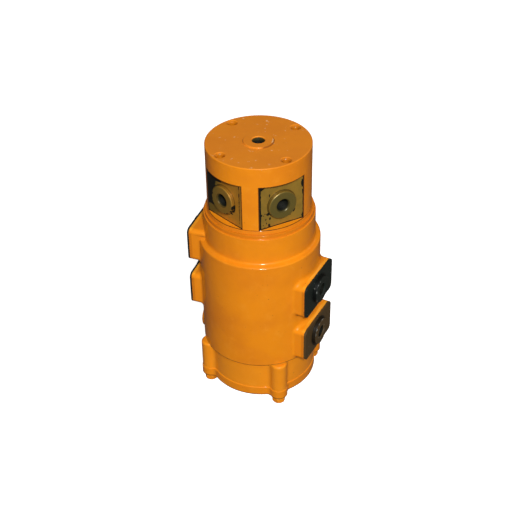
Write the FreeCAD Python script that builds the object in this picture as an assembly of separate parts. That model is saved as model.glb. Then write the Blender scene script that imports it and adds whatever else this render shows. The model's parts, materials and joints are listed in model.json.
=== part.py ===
import FreeCAD, Part
import math
import os

# A six-circuit hydraulic rotary union: a forged rotor turns in a cast housing, and oil passes
# from the ports in the rotor's head, down drilled galleries, to ring channels in the bore.
# Millimetres. +Z is the axis of rotation, Z = 0 is the underside of the end cover, and +X is
# the side with the two lower port pads.

# Rotor stem, the size that the rest is built round
stem_r = 60.0
stem_bevel = 1.5
gallery_depth = 18.0
gallery_r = 7.5
plug_r = 8.2
plug_length = 12.0
plug_socket_af = 8.0
plug_socket_depth = 7.0

# Rotor head
head_rim = 17.5
rotor_top = 413.8
top_bevel = 1.0
flat_depth = 9.0
flat_bottom = 311.5
flat_top = 383.0
rotor_port_level = 346.4
crown_r = 22.5
crown_height = 2.0
crown_bevel = 0.8

# Tapped holes in the rotor's top, M12
drive_edge = 11.25
drive_count = 4
drive_first_angle = 63.0
drive_r = 5.1
drive_depth = 25.0
drive_sink_r = 8.3

# Ports: ring boss, half-inch pipe thread drawn at the minor diameter, and passage
ring_r = 22.0
ring_height = 5.4
ring_bevel = 1.2
thread_r = 9.315
thread_depth = 18.0
thread_bevel = 1.4
passage_r = 7.0

# Bore, circuits and seals
bore_gap = 0.1
running_gap = 0.04
thrust_gap = 0.05
channel_width = 14.0
channel_depth = 8.0
seal_width = 6.0
seal_thickness = 2.8
seal_bevel = 0.4
energiser_d = 3.8
groove_side_gap = 0.15
land_width = 2.3
guide_thickness = 2.5
guide_gap = 2.0
guide_gap_slant = 30.0
bush_wall = 4.0
upper_bush_length = 32.0
lower_bush_length = 20.0
shaft_seal_length = 8.0
shaft_seal_wall = 7.0
shaft_seal_web = 2.2
shaft_seal_case = 1.6
shaft_seal_lip_height = 2.8
shaft_seal_lip_drop = 0.8
washer_bore_gap = 1.04
upper_washer_thickness = 4.5
upper_washer_recess = 3.0
upper_washer_edge = 3.46
lower_washer_thickness = 2.95

# Thrust plate and its M8 socket screws
plate_rim = 6.0
plate_thickness = 12.0
plate_bevel = 1.0
plate_screw_r = 4.0
plate_screw_clearance = 0.5
plate_screw_length = 20.0
plate_screw_tip_bevel = 1.0
plate_screw_head_r = 6.5
plate_screw_head_height = 8.0
plate_screw_head_bevel = 0.6
plate_screw_socket_af = 6.0
plate_screw_socket_depth = 4.0
plate_head_recess = 0.2
plate_head_gap = 0.5

# End cover with four ears
cover_thickness = 16.0
cover_lip = 1.2
cover_floor = 7.0
cover_bevel = 0.8
spigot_height = 4.0
spigot_wall = 3.9
spigot_gap = 0.1
pocket_gap = 2.0
counterbore_depth = 13.0
cover_ring_d = 2.8
cover_ring_inset = 3.2
cover_ring_groove_width = 3.6
ear_count = 4
ear_first_angle = 45.0
ear_offset = 2.2
ear_r = 13.2
ear_lip = 0.8
ear_root_round = 8.0
ear_top_round = 4.0
ear_drop = 0.8
spot_face_depth = 0.5
spot_face_rim = 1.0

# M12 bolts and washers under the ears
bolt_r = 6.0
bolt_clearance = 0.5
bolt_length = 45.0
bolt_hole_spare = 4.0
bolt_head_af = 19.0
bolt_head_height = 8.0
bolt_face_inset = 0.4
bolt_crown_bevel = 2.0
bolt_tip_bevel = 1.2
plain_washer_thickness = 2.5
plain_washer_r = 12.0
lock_washer_thickness = 3.0
lock_washer_r = 10.1
lock_washer_slot = 2.0
washer_gap = 0.2

# Housing, outside
lower_wall = 13.0
barrel_step = 6.9
collar_wall = 6.4
step_level = 67.3
shoulder_level = 255.0
shoulder_rise = 2.3
shoulder_round = 3.0
collar_root_round = 4.0
collar_top = 305.4
collar_step = 2.1
collar_step_height = 6.0

# Port pads
pad_rise = 8.5
pad_width = 93.0
pad_height = 57.0
pad_corner_round = 8.0
pad_root_round = 7.0
pad_pitch = 83.5
pad_offset = 56.6
first_pad_level = 99.5

# Drain boss and its three-eighths-inch port
drain_level = 72.0
drain_rise = 4.6
drain_boss_r = 20.0
drain_thread_r = 7.475
drain_thread_depth = 14.0
drain_passage_r = 5.0

# Dust seal
dust_seal_height = 5.45
dust_seal_edge = 0.5
dust_seal_foot = 1.5
dust_seal_lip_width = 0.8
dust_seal_heel = 1.2

# How far a tool starts outside the face that it cuts, and how far joined solids run together
overrun = 1.0
overlap = 1.0

# Sizes that follow from the ones above
AXIS = FreeCAD.Vector(0, 0, 1)
ORIGIN = FreeCAD.Vector(0, 0, 0)
bore_r = stem_r + bore_gap
slide_r = stem_r + running_gap
channel_r = bore_r + channel_depth
seal_outer_r = slide_r + seal_thickness
seal_groove_r = seal_outer_r + energiser_d
bush_outer_r = slide_r + bush_wall
shaft_seal_outer_r = slide_r + shaft_seal_wall
gallery_pitch_r = stem_r - gallery_depth

rotor_r = stem_r + head_rim
flat_distance = rotor_r - flat_depth
flat_ring_face = flat_distance + ring_height
crown_top = rotor_top + crown_height
drive_pitch_r = rotor_r - drive_edge
washer_inner_r = stem_r + washer_bore_gap
upper_washer_r = rotor_r - upper_washer_edge
upper_seat = collar_top - upper_washer_recess
upper_bush_top = upper_seat - shaft_seal_length
head_bottom = upper_seat + upper_washer_thickness + thrust_gap

lower_seat = cover_thickness + counterbore_depth
stem_bottom = lower_seat - lower_washer_thickness - thrust_gap
plate_r = stem_r + plate_rim
plate_bottom = stem_bottom - plate_thickness
pocket_r = plate_r + pocket_gap
spigot_r = pocket_r + spigot_wall
counterbore_r = spigot_r + spigot_gap
cover_ring_pitch_r = counterbore_r + cover_ring_inset
lock_washer_top = spot_face_depth - plain_washer_thickness
bolt_seat = lock_washer_top - lock_washer_thickness
bolt_tip = bolt_seat + bolt_length

lower_r = counterbore_r + lower_wall
cover_r = lower_r + cover_lip
ear_pitch_r = lower_r + ear_offset
cover_ear_r = ear_r + ear_lip
spot_face_r = cover_ear_r + spot_face_rim
body_r = lower_r + barrel_step
collar_r = rotor_r + collar_wall
collar_lip_r = collar_r - collar_step
pad_reach = body_r + pad_rise
pad_ring_face = pad_reach + ring_height
pad_root = math.sqrt(collar_r ** 2 - (pad_width / 2) ** 2) - overlap
drain_reach = body_r + drain_rise

seal_offset = pad_offset / 4
right_low = first_pad_level
left_low = right_low + pad_offset
right_high = right_low + pad_pitch
left_high = left_low + pad_pitch
rear_level = (right_high + left_high) / 2
guide_level = (right_low + left_low) / 2
guide_width = pad_offset - 2 * seal_offset - seal_width - 2 * groove_side_gap - 2 * land_width

# Directions round the axis in degrees. The left pads stand a little further round than straight
# opposite the right ones, and the two flats at 252 and 324 are the ones the photo shows.
RIGHT = 0.0
REAR = 90.0
LEFT = 187.0
flat_angles = (117.0, 184.0, 251.0, 325.0, 50.0)

# Each circuit: level in the bore, the side its housing port faces, and its rotor flat
circuits = (
    (left_high, LEFT, 0),
    (rear_level, REAR, 1),
    (right_high, RIGHT, 2),
    (left_low, LEFT, 3),
    (right_low, RIGHT, 4),
)
seal_levels = (
    left_high + seal_offset,
    rear_level + seal_offset,
    right_high + seal_offset,
    (left_low + right_high) / 2,
    left_low - seal_offset,
    right_low + seal_offset,
    (drain_level + right_low) / 2,
    drain_level - seal_offset,
)


def corner(before, point, after):
    """Start, middle and end of the arc that rounds one corner of an outline."""
    here = FreeCAD.Vector(point[0], 0, point[1])
    back = (FreeCAD.Vector(before[0], 0, before[1]) - here).normalize()
    ahead = (FreeCAD.Vector(after[0], 0, after[1]) - here).normalize()
    half = back.getAngle(ahead) / 2
    inwards = (back + ahead).normalize()
    reach = point[2] / math.tan(half)
    centre = here + inwards * (point[2] / math.sin(half))
    return here + back * reach, centre - inwards * point[2], here + ahead * reach


def turned(outline):
    """A solid turned about Z from (radius, height) points; a third value rounds that corner."""
    edges = []
    ends = []
    count = len(outline)
    for i, point in enumerate(outline):
        if len(point) == 3:
            start, middle, end = corner(outline[i - 1], point, outline[(i + 1) % count])
            edges.append(Part.Arc(start, middle, end).toShape())
            ends.append((start, end))
        else:
            place = FreeCAD.Vector(point[0], 0, point[1])
            ends.append((place, place))
    for i in range(count):
        start = ends[i - 1][1]
        end = ends[i][0]
        edges.append(Part.makeLine(start, end))
    wire = Part.Wire(Part.sortEdges(edges)[0])
    return Part.Face(wire).revolve(ORIGIN, AXIS, 360)


def disc(radius, low, high):
    return Part.makeCylinder(radius, high - low, FreeCAD.Vector(0, 0, low))


def tube(inner, outer, low, high):
    return disc(outer, low, high).cut(disc(inner, low - overrun, high + overrun))


def turn_to(shape, angle):
    turned_copy = shape.copy()
    turned_copy.rotate(ORIGIN, AXIS, angle)
    return turned_copy


def shifted(shape, x, y, z):
    moved = shape.copy()
    moved.translate(FreeCAD.Vector(x, y, z))
    return moved


def aimed(shape, angle, level):
    """A piece made along +Z, laid to point outwards at this angle and level."""
    laid = shape.copy()
    laid.rotate(ORIGIN, FreeCAD.Vector(0, 1, 0), 90)
    laid.rotate(ORIGIN, AXIS, angle)
    laid.translate(FreeCAD.Vector(0, 0, level))
    return laid


def around(shape, count, first_angle):
    step = 360.0 / count
    return [turn_to(shape, first_angle + i * step) for i in range(count)]


def at_angles(shape, angles):
    return [turn_to(shape, angle) for angle in angles]


def midway(angles):
    """The directions midway between neighbours round the circle."""
    ordered = sorted(angles)
    following = ordered[1:] + [ordered[0] + 360.0]
    return [(first + second) / 2 for first, second in zip(ordered, following)]


def hexagon(across_flats, low, high):
    corner_r = across_flats / 2 / math.cos(math.radians(30))
    points = []
    for i in range(7):
        angle = math.radians(60 * i + 30)
        points.append(FreeCAD.Vector(corner_r * math.cos(angle), corner_r * math.sin(angle), low))
    face = Part.Face(Part.makePolygon(points))
    return face.extrude(FreeCAD.Vector(0, 0, high - low))


def ring_boss(root, face):
    """The raised ring round a port, along +Z."""
    return turned((
        (0, root), (ring_r, root), (ring_r, face - ring_bevel),
        (ring_r - ring_bevel, face), (0, face),
    ))


def port_drilling(face, radius, depth, bevel, passage, end):
    """The tapped mouth of a port and the passage behind it, along +Z."""
    floor = face - depth
    return turned((
        (0, end), (passage, end), (passage, floor - (radius - passage) / 2), (radius, floor),
        (radius, face - bevel), (radius + bevel, face), (radius + bevel, face + overrun),
        (0, face + overrun),
    ))


def eared_plate(radius, lobe_r, low, high):
    """A round plate with four bolt ears, and soft roots where the ears meet the rim."""
    plate = disc(radius, low, high)
    for lobe in around(shifted(disc(lobe_r, low, high), ear_pitch_r, 0, 0), ear_count, ear_first_angle):
        plate = plate.fuse(lobe)
    plate = plate.removeSplitter()
    roots = []
    for edge in plate.Edges:
        upright = abs(edge.BoundBox.ZLength - (high - low)) < 1e-6
        if upright and edge.BoundBox.XLength < 1e-6 and edge.BoundBox.YLength < 1e-6:
            reach = math.hypot(edge.Vertexes[0].X, edge.Vertexes[0].Y)
            if abs(reach - radius) < 1e-3 and len(plate.ancestorsOfType(edge, Part.Face)) == 2:
                roots.append(edge)
    return plate.makeFillet(ear_root_round, roots)


def outer_edges(solid, level):
    """The edges of a flat end's outer outline."""
    for face in solid.Faces:
        flat = face.BoundBox.ZLength < 1e-6
        if flat and abs(face.BoundBox.ZMin - level) < 1e-6:
            return face.OuterWire.Edges
    return []


def pad_block():
    """A port pad before it is blended into the body, facing +X at level 0."""
    corner_point = FreeCAD.Vector(pad_root, -pad_width / 2, -pad_height / 2)
    block = Part.makeBox(pad_reach - pad_root, pad_width, pad_height, corner_point)
    long_edges = [e for e in block.Edges if abs(e.BoundBox.XLength - (pad_reach - pad_root)) < 1e-6]
    return block.makeFillet(pad_corner_round, long_edges)


def housing_blank():
    """The casting's outside: a barrel with five pads, a shoulder, a collar and four ears."""
    low = cover_thickness
    margin = 40.0
    far = pad_reach + margin
    blank = disc(body_r, low - margin, collar_top + margin)
    pads = []
    for level, side, flat in circuits:
        pads.append(shifted(turn_to(pad_block(), side), 0, 0, level))
    for pad in pads:
        blank = blank.fuse(pad)
    blank = blank.removeSplitter()
    roots = []
    for edge in blank.Edges:
        on_barrel = all(abs(math.hypot(p.x, p.y) - body_r) < 1e-3 for p in edge.discretize(5))
        inside = low - margin / 2 < edge.BoundBox.ZMin and edge.BoundBox.ZMax < collar_top + margin / 2
        if on_barrel and inside:
            roots.append(edge)
    blank = blank.makeFillet(pad_root_round, roots)
    shoulder_top = shoulder_level + shoulder_rise
    shoulder_waste = turned((
        (collar_r, collar_top + 2 * margin), (collar_r, shoulder_top, collar_root_round),
        (body_r, shoulder_level, shoulder_round), (body_r, shoulder_level - shoulder_round),
        (far, shoulder_level - shoulder_round), (far, collar_top + 2 * margin),
    ))
    blank = blank.cut(shoulder_waste)
    blank = blank.fuse(pads[0])
    blank = blank.cut(tube(lower_r, far, low - 2 * margin, step_level))
    blank = blank.cut(disc(far, low - 2 * margin, low))
    step = collar_top - collar_step_height
    blank = blank.cut(turned((
        (collar_lip_r, step), (far, step), (far, collar_top + 2 * margin),
        (0, collar_top + 2 * margin), (0, collar_top), (collar_lip_r, collar_top),
    )))
    ears = eared_plate(lower_r, ear_r, low, step_level - ear_drop)
    ears = ears.makeFillet(ear_top_round, outer_edges(ears, step_level - ear_drop))
    blank = blank.fuse(ears)
    for level, side, flat in circuits:
        blank = blank.fuse(aimed(ring_boss(pad_reach - overlap, pad_ring_face), side, level))
    drain_root = collar_r - drain_boss_r
    drain_boss = turned((
        (0, drain_root), (drain_boss_r, drain_root), (drain_boss_r, drain_reach - ring_bevel),
        (drain_boss_r - ring_bevel, drain_reach), (0, drain_reach),
    ))
    return blank.fuse(aimed(drain_boss, LEFT, drain_level))


def ring_groove(outer_r, width, level):
    return tube(stem_r - bush_wall, outer_r, level - width / 2, level + width / 2)


def make_housing():
    housing = housing_blank()
    housing = housing.cut(disc(bore_r, 0, collar_top + overrun))
    housing = housing.cut(disc(upper_washer_r + bore_gap, upper_seat, collar_top + overrun))
    housing = housing.cut(disc(shaft_seal_outer_r, upper_seat - shaft_seal_length, upper_seat))
    housing = housing.cut(disc(bush_outer_r, upper_bush_top - upper_bush_length, upper_bush_top))
    housing = housing.cut(disc(bush_outer_r, lower_seat, lower_seat + lower_bush_length))
    housing = housing.cut(disc(counterbore_r, 0, lower_seat))
    for level in [circuit[0] for circuit in circuits] + [drain_level]:
        housing = housing.cut(ring_groove(channel_r, channel_width, level))
    for level in seal_levels:
        housing = housing.cut(ring_groove(seal_groove_r, seal_width + 2 * groove_side_gap, level))
    guide_r = slide_r + guide_thickness
    housing = housing.cut(ring_groove(guide_r, guide_width + 2 * groove_side_gap, guide_level))
    for level, side, flat in circuits:
        drilling = port_drilling(pad_ring_face, thread_r, thread_depth, thread_bevel, passage_r, stem_r)
        housing = housing.cut(aimed(drilling, side, level))
    drain = port_drilling(
        drain_reach, drain_thread_r, drain_thread_depth, thread_bevel, drain_passage_r, stem_r)
    housing = housing.cut(aimed(drain, LEFT, drain_level))
    bolt_hole = shifted(disc(bolt_r, 0, bolt_tip + bolt_hole_spare), ear_pitch_r, 0, 0)
    for hole in around(bolt_hole, ear_count, ear_first_angle):
        housing = housing.cut(hole)
    return housing


def make_end_cover():
    cover = eared_plate(cover_r, cover_ear_r, 0, cover_thickness)
    cover = cover.makeChamfer(cover_bevel, outer_edges(cover, cover_thickness))
    cover = cover.makeChamfer(cover_bevel, outer_edges(cover, 0))
    cover = cover.fuse(disc(spigot_r, cover_thickness - overlap, cover_thickness + spigot_height))
    cover = cover.cut(disc(pocket_r, cover_floor, cover_thickness + spigot_height + overrun))
    half = cover_ring_groove_width / 2
    cover = cover.cut(tube(
        cover_ring_pitch_r - half, cover_ring_pitch_r + half,
        cover_thickness - cover_ring_d, cover_thickness + overrun))
    hole = disc(bolt_r + bolt_clearance, -overrun, cover_thickness + overrun)
    hole = hole.fuse(disc(spot_face_r, -overrun, spot_face_depth))
    for bolt_hole in around(shifted(hole, ear_pitch_r, 0, 0), ear_count, ear_first_angle):
        cover = cover.cut(bolt_hole)
    return cover


def make_cover_ring():
    level = cover_thickness - cover_ring_d / 2
    return Part.makeTorus(cover_ring_pitch_r, cover_ring_d / 2, FreeCAD.Vector(0, 0, level), AXIS)


def cover_bolt():
    """A hexagon-headed bolt, head down, seated under its two washers."""
    head_low = bolt_seat - bolt_head_height
    corner_r = bolt_head_af / 2 / math.cos(math.radians(30)) + overlap
    crown = turned((
        (0, head_low), (bolt_head_af / 2 - bolt_face_inset, head_low),
        (corner_r, head_low + bolt_crown_bevel), (corner_r, bolt_seat), (0, bolt_seat),
    ))
    head = hexagon(bolt_head_af, head_low, bolt_seat).common(crown)
    shank = turned((
        (0, bolt_seat - overlap), (bolt_r, bolt_seat - overlap), (bolt_r, bolt_tip - bolt_tip_bevel),
        (bolt_r - bolt_tip_bevel, bolt_tip), (0, bolt_tip),
    ))
    return head.fuse(shank)


def make_cover_bolts():
    return Part.makeCompound(around(shifted(cover_bolt(), ear_pitch_r, 0, 0), ear_count, ear_first_angle))


def make_plain_washers():
    washer = tube(bolt_r + washer_gap, plain_washer_r, lock_washer_top, spot_face_depth)
    return Part.makeCompound(around(shifted(washer, ear_pitch_r, 0, 0), ear_count, ear_first_angle))


def make_lock_washers():
    washer = tube(bolt_r + washer_gap, lock_washer_r, bolt_seat, lock_washer_top)
    slot_low = FreeCAD.Vector(0, -lock_washer_slot / 2, bolt_seat - overrun)
    slot_height = lock_washer_thickness + 2 * overrun
    slot = Part.makeBox(lock_washer_r + overrun, lock_washer_slot, slot_height, slot_low)
    washer = washer.cut(slot)
    return Part.makeCompound(around(shifted(washer, ear_pitch_r, 0, 0), ear_count, ear_first_angle))


def make_seal(level):
    low = level - seal_width / 2
    high = level + seal_width / 2
    return turned((
        (slide_r + seal_bevel, low), (seal_outer_r, low), (seal_outer_r, high),
        (slide_r + seal_bevel, high), (slide_r, high - seal_bevel), (slide_r, low + seal_bevel),
    ))


def make_energiser(level):
    middle_r = seal_outer_r + energiser_d / 2
    return Part.makeTorus(middle_r, energiser_d / 2, FreeCAD.Vector(0, 0, level), AXIS)


def make_guide_ring():
    """A wear band with the slanting gap that lets it spring into its groove."""
    low = guide_level - guide_width / 2
    band = tube(slide_r, slide_r + guide_thickness, low, low + guide_width)
    gap_low = FreeCAD.Vector(stem_r - overrun, -guide_gap / 2, low - guide_width / 2)
    gap = Part.makeBox(guide_thickness + 2 * overrun, guide_gap, guide_width * 2, gap_low)
    gap.rotate(FreeCAD.Vector(stem_r, 0, guide_level), FreeCAD.Vector(1, 0, 0), guide_gap_slant)
    return band.cut(turn_to(gap, REAR))


def make_shaft_seal():
    """A lip seal: a stiff outer case, a web at the top and a lip on the rotor's journal."""
    low = upper_seat - shaft_seal_length
    web = shaft_seal_web
    inner_case_r = shaft_seal_outer_r - shaft_seal_case
    return turned((
        (slide_r + web, upper_seat), (shaft_seal_outer_r, upper_seat), (shaft_seal_outer_r, low),
        (inner_case_r, low), (inner_case_r, upper_seat - web),
        (slide_r + 2 * web, upper_seat - web), (slide_r + web, low + shaft_seal_lip_drop),
        (slide_r, low + shaft_seal_lip_height),
    ))


def rotor_blank():
    """The forging: stem, head, five flats with their ring bosses, and the crown on top."""
    blank = turned((
        (0, stem_bottom), (stem_r - stem_bevel, stem_bottom), (stem_r, stem_bottom + stem_bevel),
        (stem_r, head_bottom), (rotor_r, head_bottom), (rotor_r, rotor_top - top_bevel),
        (rotor_r - top_bevel, rotor_top), (0, rotor_top),
    ))
    slab_low = FreeCAD.Vector(flat_distance, -rotor_r, flat_bottom)
    slab = Part.makeBox(rotor_r, 2 * rotor_r, flat_top - flat_bottom, slab_low)
    for flat_cut in at_angles(slab, flat_angles):
        blank = blank.cut(flat_cut)
    boss = aimed(ring_boss(flat_distance - overlap, flat_ring_face), 0, rotor_port_level)
    for ring in at_angles(boss, flat_angles):
        blank = blank.fuse(ring)
    crown_root = rotor_top - overlap
    crown = turned((
        (0, crown_root), (crown_r, crown_root), (crown_r, crown_top - crown_bevel),
        (crown_r - crown_bevel, crown_top), (0, crown_top),
    ))
    return blank.fuse(crown)


def gallery_drilling():
    """One gallery from the stem's lower end up to the ports, with its plug's seat."""
    plug_end = stem_bottom + plug_length
    start = stem_bottom - overrun
    drilling = turned((
        (0, start), (plug_r, start), (plug_r, plug_end), (gallery_r, plug_end + plug_r - gallery_r),
        (gallery_r, rotor_port_level + gallery_r), (0, rotor_port_level + 2 * gallery_r),
    ))
    return shifted(drilling, gallery_pitch_r, 0, 0)


def drive_hole():
    """A tapped and countersunk hole in the rotor's top."""
    floor = rotor_top - drive_depth
    hole = turned((
        (0, floor - drive_r / 2), (drive_r, floor), (drive_r, rotor_top - drive_sink_r + drive_r),
        (drive_sink_r, rotor_top), (drive_sink_r, rotor_top + overrun), (0, rotor_top + overrun),
    ))
    return shifted(hole, drive_pitch_r, 0, 0)


def plate_screw_places(shape):
    """Copies midway between the galleries, on the same circle."""
    return at_angles(shifted(shape, gallery_pitch_r, 0, 0), midway(flat_angles))


def make_rotor():
    rotor = rotor_blank()
    port = port_drilling(
        flat_ring_face, thread_r, thread_depth, thread_bevel, passage_r, gallery_pitch_r)
    for level, side, flat in circuits:
        angle = flat_angles[flat]
        rotor = rotor.cut(turn_to(gallery_drilling(), angle))
        rotor = rotor.cut(aimed(port, angle, rotor_port_level))
        rotor = rotor.cut(aimed(disc(passage_r, gallery_pitch_r, stem_r + overrun), angle, level))
    rotor = rotor.cut(port_drilling(
        crown_top, thread_r, thread_depth, thread_bevel, passage_r, drain_level - drain_passage_r))
    drain_angle = midway(flat_angles)[0]
    rotor = rotor.cut(aimed(disc(drain_passage_r, 0, stem_r + overrun), drain_angle, drain_level))
    for hole in around(drive_hole(), drive_count, drive_first_angle):
        rotor = rotor.cut(hole)
    screw_hole = disc(plate_screw_r, stem_bottom - overrun, stem_bottom + plate_screw_length)
    for hole in plate_screw_places(screw_hole):
        rotor = rotor.cut(hole)
    return rotor


def make_dust_seal():
    """A narrow rubber ring that grips the rotor and wipes the collar's top with its lip."""
    low = collar_top + thrust_gap
    high = low + dust_seal_height
    return turned((
        (rotor_r, high), (rotor_r + dust_seal_edge, high), (rotor_r + dust_seal_foot, low),
        (rotor_r + dust_seal_foot - dust_seal_lip_width, low), (rotor_r, low + dust_seal_heel),
    ))


def make_thrust_plate():
    plate = turned((
        (0, plate_bottom), (plate_r - plate_bevel, plate_bottom), (plate_r, plate_bottom + plate_bevel),
        (plate_r, stem_bottom), (0, stem_bottom),
    ))
    seat = plate_bottom + plate_head_recess + plate_screw_head_height
    start = plate_bottom - overrun
    hole = disc(plate_screw_r + plate_screw_clearance, start, stem_bottom + overrun)
    hole = hole.fuse(disc(plate_screw_head_r + plate_head_gap, start, seat))
    for screw_hole in plate_screw_places(hole):
        plate = plate.cut(screw_hole)
    return plate


def make_plate_screws():
    head_low = plate_bottom + plate_head_recess
    seat = head_low + plate_screw_head_height
    tip = seat + plate_screw_length
    screw = turned((
        (0, head_low), (plate_screw_head_r - plate_screw_head_bevel, head_low),
        (plate_screw_head_r, head_low + plate_screw_head_bevel), (plate_screw_head_r, seat),
        (plate_screw_r, seat), (plate_screw_r, tip - plate_screw_tip_bevel),
        (plate_screw_r - plate_screw_tip_bevel, tip), (0, tip),
    ))
    socket = hexagon(plate_screw_socket_af, head_low - overrun, head_low + plate_screw_socket_depth)
    return Part.makeCompound(plate_screw_places(screw.cut(socket)))


def make_gallery_plugs():
    plug = disc(plug_r, stem_bottom, stem_bottom + plug_length)
    plug = plug.cut(hexagon(plug_socket_af, stem_bottom - overrun, stem_bottom + plug_socket_depth))
    return Part.makeCompound(at_angles(shifted(plug, gallery_pitch_r, 0, 0), flat_angles))


def build():
    parts = {
        "housing": make_housing(),
        "end_cover": make_end_cover(),
        "end_cover_o_ring": make_cover_ring(),
        "end_cover_bolts": make_cover_bolts(),
        "end_cover_washers": make_plain_washers(),
        "end_cover_lock_washers": make_lock_washers(),
        "upper_bush": tube(slide_r, bush_outer_r, upper_bush_top - upper_bush_length, upper_bush_top),
        "lower_bush": tube(slide_r, bush_outer_r, lower_seat, lower_seat + lower_bush_length),
        "shaft_seal": make_shaft_seal(),
        "upper_thrust_washer": tube(
            washer_inner_r, upper_washer_r, upper_seat, upper_seat + upper_washer_thickness),
        "lower_thrust_washer": tube(
            washer_inner_r, plate_r, lower_seat - lower_washer_thickness, lower_seat),
        "guide_ring": make_guide_ring(),
        "rotor": make_rotor(),
        "dust_seal": make_dust_seal(),
        "thrust_plate": make_thrust_plate(),
        "thrust_plate_screws": make_plate_screws(),
        "gallery_plugs": make_gallery_plugs(),
    }
    for i, level in enumerate(seal_levels):
        parts["circuit_seal_%d" % (i + 1)] = make_seal(level)
        parts["circuit_seal_energiser_%d" % (i + 1)] = make_energiser(level)
    return parts


def main():
    os.makedirs("parts", exist_ok=True)
    for name, shape in build().items():
        if len(shape.Solids) == 1:
            shape = shape.Solids[0]
        shape.exportStep("parts/%s.step" % name)


main()
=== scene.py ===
"""A six-circuit hydraulic rotary union in thick orange enamel, with bare port faces.

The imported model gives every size. The seven outside pieces are copied from its nodes, merged
and painted, with softened edges and with real threads in the ports. The pieces inside keep
their own meshes.
"""
import json
import math

import bmesh
import bpy
from mathutils import Matrix, Vector


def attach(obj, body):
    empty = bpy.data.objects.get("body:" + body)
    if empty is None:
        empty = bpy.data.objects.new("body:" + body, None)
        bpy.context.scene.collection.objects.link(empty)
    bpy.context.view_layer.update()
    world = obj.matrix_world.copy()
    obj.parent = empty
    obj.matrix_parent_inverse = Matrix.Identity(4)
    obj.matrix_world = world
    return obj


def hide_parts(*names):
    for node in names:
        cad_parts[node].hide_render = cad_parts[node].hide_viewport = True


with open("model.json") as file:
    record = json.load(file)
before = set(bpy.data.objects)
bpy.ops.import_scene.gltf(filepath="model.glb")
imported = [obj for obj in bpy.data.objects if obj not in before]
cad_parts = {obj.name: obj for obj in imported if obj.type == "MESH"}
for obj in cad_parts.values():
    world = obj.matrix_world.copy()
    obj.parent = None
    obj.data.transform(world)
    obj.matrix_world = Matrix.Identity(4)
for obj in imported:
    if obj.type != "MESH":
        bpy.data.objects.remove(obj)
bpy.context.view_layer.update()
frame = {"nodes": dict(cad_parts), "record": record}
MM = 0.001

# Sizes repeated from the part's source, in millimetres and degrees
ROTOR_R = 77.5
ROTOR_TOP = 413.8
CROWN_R = 22.5
CROWN_TOP = 415.8
FLAT_FACE = 68.5
FLAT_RING_FACE = 73.9
FLAT_LOW = 311.5
FLAT_HIGH = 383.0
HALF_FLAT = math.sqrt(ROTOR_R ** 2 - FLAT_FACE ** 2)
LEFT_FLAT = 251
RIGHT_FLAT = 325
FLAT_ANGLES = (117, 184, LEFT_FLAT, RIGHT_FLAT, 50)
ROTOR_PORT_LEVEL = 346.4
RING_R = 22.0
PORT_BEVEL = 1.4
COLLAR_R = 83.9
COLLAR_STEP_LEVEL = 299.4
SHOULDER_LEVEL = 255.0
BODY_R = 91.9
LOWER_R = 85.0
STEP_LEVEL = 67.3
LEFT = 187
HOUSING_PORTS = ((LEFT, 239.6), (90, 211.3), (0, 183.0), (LEFT, 156.1), (0, 99.5))
PAD_RING_FACE = 105.8
DRAIN_FACE = 96.5
DRAIN_LEVEL = 72.0
BOLTS_LOW = -13.0

# Pipe threads, drawn at the minor diameter: radius, pitch and length in millimetres
HALF_INCH = (9.315, 1.814, 16.6)
THREE_EIGHTHS = (7.475, 1.337, 12.6)
DEPTH_PER_PITCH = 0.64
FACES_PER_TURN = 6

# How far out from the axis a rotor flat and a housing pad start, for masks that lie on one
FLAT_INNER = 60.0
PAD_INNER = 90.0

# Edges sharper than these angles are softened, and kept sharp in the shading, in degrees
SOFTENED_ANGLE = 20
SHADED_SHARP_ANGLE = 50


# Meshes

def radial(angle):
    return Vector((math.cos(math.radians(angle)), math.sin(math.radians(angle)), 0))


def merged_copy(node):
    """The node's mesh with its loose triangles joined and its flat faces made whole."""
    bm = bmesh.new()
    bm.from_mesh(frame["nodes"][node].data)
    bmesh.ops.remove_doubles(bm, verts=bm.verts, dist=0.002 * MM)
    bmesh.ops.dissolve_limit(
        bm, angle_limit=math.radians(0.3), use_dissolve_boundaries=False,
        verts=bm.verts, edges=bm.edges)
    return bm


def cut_thread(bm, face_centre, axis, thread):
    """Turns the plain wall of a tapped hole in this face into a real screw thread."""
    radius, pitch, length = (size * MM for size in thread)
    mouth = face_centre - axis * PORT_BEVEL * MM
    side = axis.orthogonal().normalized()
    across = axis.cross(side)
    slack = 0.1 * MM

    def off_axis(point):
        along = (point - mouth).dot(axis)
        return point - mouth - axis * along, along

    def on_wall(vert):
        away, along = off_axis(vert.co)
        return abs(away.length - radius) < 0.2 * slack and -length - slack < along < slack

    def is_rung(edge):
        """Whether an edge runs down the wall, from the mouth to the thread's end."""
        first, last = edge.verts
        slope = (first.co - last.co).normalized().dot(axis)
        return on_wall(first) and on_wall(last) and abs(slope) > 0.99

    rungs = [edge for edge in bm.edges if is_rung(edge)]
    for face in bm.faces:
        places = [off_axis(vert.co) for vert in face.verts]
        if all(away.length < radius * 1.03 and -2 * length < along < 0.1 * slack
               for away, along in places):
            face.material_index = 1
    made = bmesh.ops.subdivide_edges(
        bm, edges=rungs, cuts=round(length / pitch * FACES_PER_TURN), use_grid_fill=True)
    for vert in (v for v in made["geom_inner"] if isinstance(v, bmesh.types.BMVert)):
        away, along = off_axis(vert.co)
        turn = math.atan2(away.dot(across), away.dot(side)) / (2 * math.pi)
        height = 1 - abs(2 * ((along / pitch + turn) % 1.0) - 1)
        fade = max(0.0, min(1.0, -along / pitch, (along + length) / pitch))
        vert.co += away.normalized() * DEPTH_PER_PITCH * pitch * fade * height


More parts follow.
